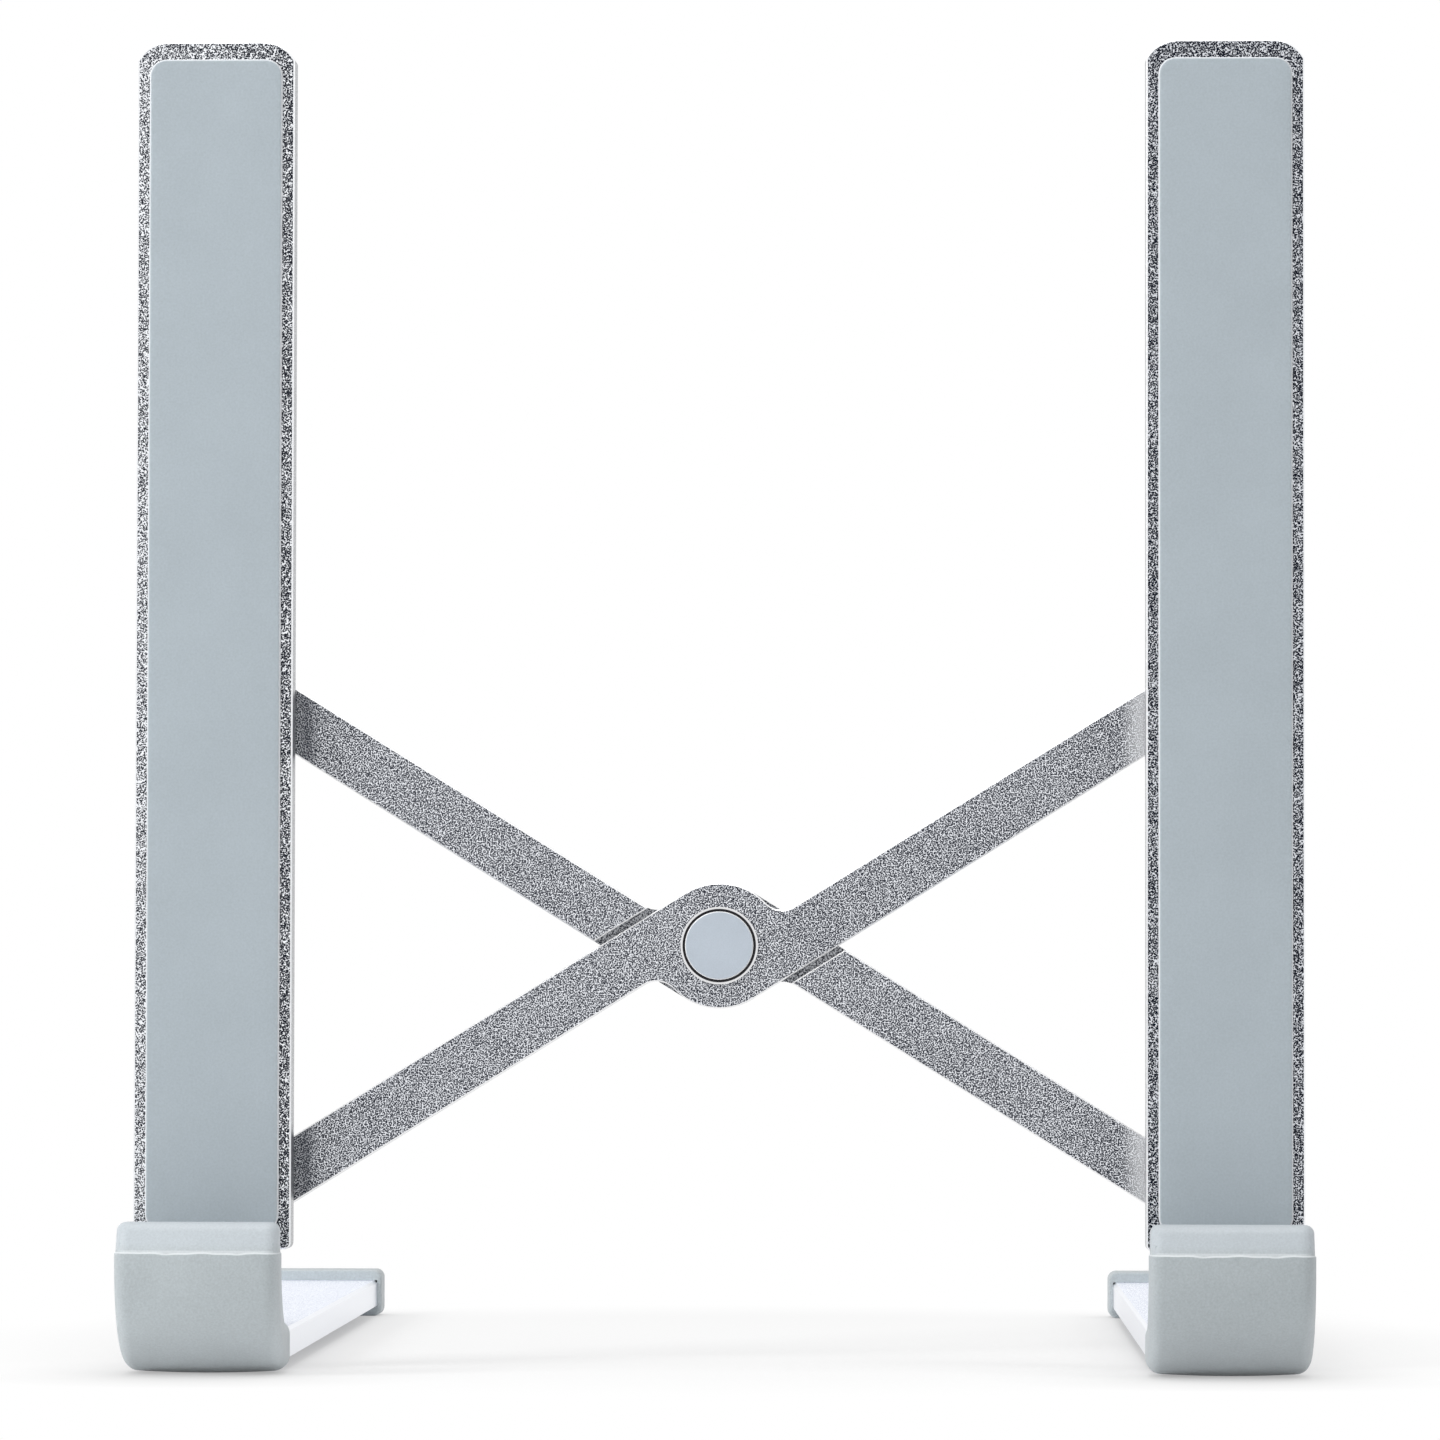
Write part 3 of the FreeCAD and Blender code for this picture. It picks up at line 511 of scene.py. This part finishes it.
def rear_boot(name, node):
    """Rings from the rounded rear face forward to the rim, then the leg's section backwards into the
    pocket."""
    low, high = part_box(node)
    middle = (low.x + high.x) / 2
    turn = np.linspace(0.0, math.pi / 2, 9)
    body = np.linspace(high.y - 1.6 * CAP_ROUND, low.y + CAP_ROUND, 8)
    y = np.concatenate([
        high.y - CAP_ROUND * (1 - np.sin(turn[::-1])), body, low.y + CAP_RIM_ROUND * (1 - np.sin(turn)),
    ])
    inset = np.concatenate([
        CAP_ROUND * (1 - np.cos(turn[::-1])), 0 * body, CAP_RIM_ROUND * (1 - np.cos(turn)),
    ])
    half = np.full(y.size, (high.x - low.x) / 2)
    pattern = ring_pattern(17, 7, 7)
    outside = rings(
        pattern, middle, level_path(y, high.z), level_path(y, low.z), half, CAP_CORNER, inset,
    )
    deep = np.array([low.y, high.y - CAP_POCKET_END])
    pocket = rings(
        pattern, middle, level_path(deep, HOOK_SEAT), level_path(deep, HOOK_UNDER), np.full(2, HOOK_HALF),
        HOOK_CORNER, np.zeros(2),
    )
    return skin(name, np.concatenate([outside, pocket]), BOOT_CRISP)


# The rear caps take the boots' paler painted lit copy.
for side in SIDES:
    cap = rear_boot(side + "_end_boot", side + "_rear_boot")
    cap.data.materials.append(painted_lit_boot)
    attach(cap, side + "_leg")
    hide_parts(side + "_rear_boot")

# Leg hinges
# Stamped steel brackets and machined knuckles, zinc plated, with turned pins and hard spring washers between
# them. The bracket is held by flush black screws, and the knuckle is clamped in the arm's track by black
# grub screws.


def drawn_steel(name, deep, pale, stretch, rough):
    """Bright steel with fine draw lines: noise stretched along one axis for lightness, roughness and
    height, and faint stains."""
    made, tree, shader, place = start_finish(name)
    spot = place.outputs["Object"]
    drawn = lay(tree, "ShaderNodeMapping", [("Vector", spot), ("Scale", stretch)]).outputs["Vector"]
    lines = clouds(tree, drawn, 1.0, 5.0)
    stained = between(tree, 0.35, lines, clouds(tree, spot, 240.0, 3.0))
    tree.links.new(steps(tree, stained, (0.3, deep), (0.7, pale)), shader.inputs["Base Color"])
    tree.links.new(spread(tree, stained, 0.3, 0.7, rough + 0.1, rough - 0.06), shader.inputs["Roughness"])
    emboss(tree, shader, 0.15, 0.00003, lines)
    shader.inputs["Metallic"].default_value = 1.0
    return made


plated_finish = drawn_steel(
    "hinge_plated_steel", (0.40, 0.41, 0.42), (0.62, 0.62, 0.62), (3200.0, 700.0, 260.0), 0.34,
)
turned_finish = drawn_steel(
    "pin_turned_steel", (0.46, 0.46, 0.46), (0.70, 0.70, 0.69), (4200.0, 400.0, 400.0), 0.26,
)
spring_finish = drawn_steel(
    "washer_spring_steel", (0.30, 0.30, 0.31), (0.48, 0.48, 0.48), (2500.0, 900.0, 900.0), 0.38,
)
screw_finish = drawn_steel(
    "screw_black_oxide", (0.035, 0.035, 0.04), (0.10, 0.10, 0.105), (900.0, 900.0, 900.0), 0.42,
)
for side in SIDES:
    dress(side + "_hinge_bracket", plated_finish)
    dress(side + "_hinge_knuckle", plated_finish)
    dress(side + "_hinge_pin", turned_finish)
    dress(side + "_friction_washers", spring_finish)
    dress(side + "_bracket_screws", screw_finish)
    dress(side + "_knuckle_set_screws", screw_finish)

# Cross bars
# Two Z-shaped bars cut from aluminium plate, blasted and anodised, halved where they cross so that both lie
# in one plane. They turn on the hub, on pins in the arms below and on riveted sliders in the arms' tracks
# above.

BAR_TONES = ((0.02, 0.023, 0.035), (0.22, 0.23, 0.255), (0.84, 0.86, 0.90))
BAR_CUT = (0.93, 0.93, 0.94)
BAR_FLANK = ((0.34, 0.35, 0.37), (0.80, 0.81, 0.83))
BAR_PITTING = 0.3
BAR_SEEN_HALF = 0.081
BAR_FACE_DEPTH = 0.0005

bar_low, bar_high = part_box("rear_cross_bar")
# The bar finish paints light and shade: the sunk lap floors half-way to nearly black, a painted shadow of the
# left arm near the left ends, a painted reflection of the right arm's lit flank near the right ends, and a
# slight painted lift of light, a touch more at the left.
bar_finish = blasted_aluminium(
    "bar_blasted_silver", BAR_TONES, BAR_CUT, "Y", BAR_PITTING, BAR_FLANK,
    shaded_lap_depths=(bar_low.y + BAR_FACE_DEPTH, bar_high.y - BAR_FACE_DEPTH), ends=BAR_SEEN_HALF,
    painted_light_slope=(-BAR_SEEN_HALF, BAR_SEEN_HALF, 0.03, 0.025),
)
dress("front_cross_bar", bar_finish)
dress("rear_cross_bar", bar_finish)

# Cross pivots
# Turned steel pins and rivets with heads flush behind the bars. The spacers are natural nylon, and the
# sliders are moulded grey nylon that runs dry in the tracks.


def moulded_nylon(name, colour, rough):
    """Moulded nylon: faint flow clouds in the colour and a fine dull mould texture."""
    made, tree, shader, place = start_finish(name)
    spot = place.outputs["Object"]
    flow = clouds(tree, spot, 320.0, 4.0)
    mould = clouds(tree, spot, 3000.0, 2.0)
    darker = tuple(value * 0.88 for value in colour)
    lighter = tuple(value * 1.1 for value in colour)
    tree.links.new(steps(tree, flow, (0.3, darker), (0.7, lighter)), shader.inputs["Base Color"])
    tree.links.new(spread(tree, mould, 0.3, 0.7, rough - 0.06, rough + 0.08), shader.inputs["Roughness"])
    emboss(tree, shader, 0.15, 0.00004, mould)
    return made


slider_finish = moulded_nylon("slider_grey_nylon", (0.16, 0.165, 0.17), 0.5)
spacer_finish = moulded_nylon("spacer_natural_nylon", (0.62, 0.61, 0.58), 0.45)
for side in SIDES:
    dress(side + "_lower_pivot_pin", turned_finish)
    dress(side + "_slider_rivet", turned_finish)
    dress(side + "_lower_pivot_washer", spacer_finish)
    dress(side + "_slider", slider_finish)

# Hub
# A turned steel axle with a bright rim round a blue-grey lacquered disc that is pressed into its head.
# A thin nylon washer lies between the two laps, and a steel collar closes the axle behind the bars.

RIM_DEEP = (0.66, 0.66, 0.67)
RIM_PALE = (0.92, 0.92, 0.93)
DISC_COLOUR = (0.50, 0.56, 0.63)


def turned_face(name, deep, pale, centre, shaded_groove):
    """Lathe-turned steel: rings of noise that depend only on the distance from the axle. shaded_groove, a pair
    of radii, is the narrow ring round the cap, painted nearly black: painted shade in the groove."""
    made, tree, shader, place = start_finish(name)
    moved = lay(
        tree, "ShaderNodeMapping",
        [("Vector", place.outputs["Object"]), ("Location", centre), ("Scale", (1.0, 0.0, 1.0))],
    ).outputs["Vector"]
    reach = lay(tree, "ShaderNodeVectorMath", [(0, moved)], operation="LENGTH").outputs["Value"]
    cuts = lay(
        tree, "ShaderNodeTexNoise", [("W", reach), ("Scale", 9000.0), ("Detail", 3.0)],
        noise_dimensions="1D",
    ).outputs["Fac"]
    # Painted shade: the groove ring round the cap is painted nearly black.
    inside = calc(tree, "COMPARE", reach, (shaded_groove[0] + shaded_groove[1]) / 2, (shaded_groove[1] - shaded_groove[0]) / 2)
    bright = steps(tree, cuts, (0.3, deep), (0.7, pale))
    tree.links.new(blend(tree, inside, bright, (0.03, 0.03, 0.033, 1.0)), shader.inputs["Base Color"])
    tree.links.new(spread(tree, cuts, 0.3, 0.7, 0.3, 0.18), shader.inputs["Roughness"])
    emboss(tree, shader, 0.12, 0.00003, cuts)
    shader.inputs["Metallic"].default_value = 1.0
    return made


def lacquered_disc(name, colour):
    """Matt lacquer with a faint speckle and slow drift in lightness, and a near-white painted highlight on the
    rounded edge.
    """
    made, tree, shader, place = start_finish(name)
    spot = place.outputs["Object"]
    lean = split(tree, place.outputs["Normal"])
    speck = clouds(tree, spot, 4200.0, 2.0)
    drift = clouds(tree, spot, 130.0, 2.0)
    darker = tuple(value * 0.95 for value in colour)
    lighter = tuple(value * 1.05 for value in colour)
    lacquer = steps(tree, between(tree, 0.4, speck, drift), (0.35, darker), (0.65, lighter))
    # Painted highlight: the rounded edge, where the face turns from the front, is painted near white.
    painted_rim_highlight = spread(tree, lean["Y"], -0.98, -0.8)
    tree.links.new(blend(tree, painted_rim_highlight, lacquer, (0.92, 0.93, 0.94, 1.0)), shader.inputs["Base Color"])
    tree.links.new(spread(tree, drift, 0.3, 0.7, 0.42, 0.5), shader.inputs["Roughness"])
    return made


hub_low, hub_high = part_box("hub_rivet")
hub_centre = (0.0, 0.0, -(hub_low.z + hub_high.z) / 2)
cap_low, cap_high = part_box("hub_cap")
cap_radius = (cap_high.x - cap_low.x) / 2
rim_finish = turned_face(
    "hub_turned_steel", RIM_DEEP, RIM_PALE, hub_centre, (cap_radius - 0.0002, cap_radius + 0.0005),
)
disc_finish = lacquered_disc("hub_blue_grey_lacquer", DISC_COLOUR)
dress("hub_rivet", rim_finish)
dress("hub_collar", rim_finish)
dress("hub_cap", disc_finish)
dress("hub_washer", spacer_finish)

# Studio
# A white floor that keeps the soft shadow near the stand and goes over into plain white, a large soft lamp
# from the upper left, weaker ones from the right and from above, and the camera low in front and a little to
# the right.

FLOOR_HALF = 6.0
WHITE = (1.0, 1.0, 1.0, 1.0)


def plain_white(tree):
    """1 for rays that should see the plain white background, which are camera, mirror and glass rays."""
    rays = lay(tree, "ShaderNodeLightPath").outputs
    seen = calc(tree, "MAXIMUM", rays["Is Camera Ray"], rays["Is Glossy Ray"])
    return calc(tree, "MAXIMUM", seen, rays["Is Transmission Ray"])


floor_corners = [(-FLOOR_HALF, -FLOOR_HALF, 0), (FLOOR_HALF, -FLOOR_HALF, 0),
                 (FLOOR_HALF, FLOOR_HALF, 0), (-FLOOR_HALF, FLOOR_HALF, 0)]
floor_mesh = bpy.data.meshes.new("studio_floor")
floor_mesh.from_pydata(floor_corners, [], [(0, 1, 2, 3)])
floor = bpy.data.objects.new("studio_floor", floor_mesh)
bpy.context.collection.objects.link(floor)
floor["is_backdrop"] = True
floor_finish, floor_tree, floor_shader, floor_place = start_finish("studio_white_floor")
floor_tree.nodes.remove(floor_shader)
floor_reach = lay(
    floor_tree, "ShaderNodeVectorMath", [(0, floor_place.outputs["Object"])], operation="LENGTH",
).outputs["Value"]
floor_fade = spread(floor_tree, floor_reach, 0.11, 0.18, 0.68, 1.0, interpolation_type="SMOOTHSTEP")
floor_white = calc(floor_tree, "MULTIPLY", floor_fade, plain_white(floor_tree))
floor_open = lay(floor_tree, "ShaderNodeAmbientOcclusion", [("Distance", 0.032)]).outputs["AO"]
floor_shade = spread(floor_tree, floor_open, 0.0, 1.0, 0.5, 1.0)
floor_matt = lay(floor_tree, "ShaderNodeBsdfDiffuse", [("Color", WHITE)])
floor_glow = lay(floor_tree, "ShaderNodeEmission", [("Color", WHITE), ("Strength", floor_shade)])
floor_mix = lay(
    floor_tree, "ShaderNodeMixShader",
    [(0, floor_white), (1, floor_matt.outputs["BSDF"]), (2, floor_glow.outputs["Emission"])],
)
floor_surface = floor_tree.nodes["Material Output"].inputs["Surface"]
floor_tree.links.new(floor_mix.outputs["Shader"], floor_surface)
floor_mesh.materials.append(floor_finish)

world = bpy.data.worlds.new("studio_white_room")
world.use_nodes = True
room = world.node_tree
room_walls = room.nodes["Background"]
room.links.new(spread(room, plain_white(room), 0.0, 1.0, 0.27, 1.0), room_walls.inputs["Strength"])
room_walls.inputs["Color"].default_value = WHITE
bpy.context.scene.world = world


def soft_lamp(name, place, aim, size, watts):
    """A square lamp at a place, turned towards its aim."""
    lamp = bpy.data.lights.new(name, "AREA")
    lamp.size = size
    lamp.energy = watts
    made = bpy.data.objects.new(name, lamp)
    bpy.context.collection.objects.link(made)
    made.location = place
    made.rotation_euler = (made.location - aim).to_track_quat("Z", "Y").to_euler()


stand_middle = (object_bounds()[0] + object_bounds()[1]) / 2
soft_lamp("key_lamp", (-1.6, -1.2, 1.0), stand_middle, 0.65, 24.0)
soft_lamp("fill_lamp", (1.6, -1.2, 1.0), stand_middle, 0.65, 6.0)
soft_lamp("top_lamp", (-0.1, -0.35, 1.7), stand_middle, 0.8, 11.0)

camera = bpy.data.cameras.new("photo_camera")
camera.sensor_width = 36.0
camera.lens = 160.83
camera.shift_y = 0.06
camera_object = bpy.data.objects.new("photo_camera", camera)
camera_object.location = (0.03485, -1.31387, 0.07056)
camera_object.rotation_euler = (math.radians(91.711), math.radians(-0.105), math.radians(1.621))
bpy.context.collection.objects.link(camera_object)
bpy.context.scene.camera = camera_object
bpy.context.scene.view_settings.view_transform = "Standard"
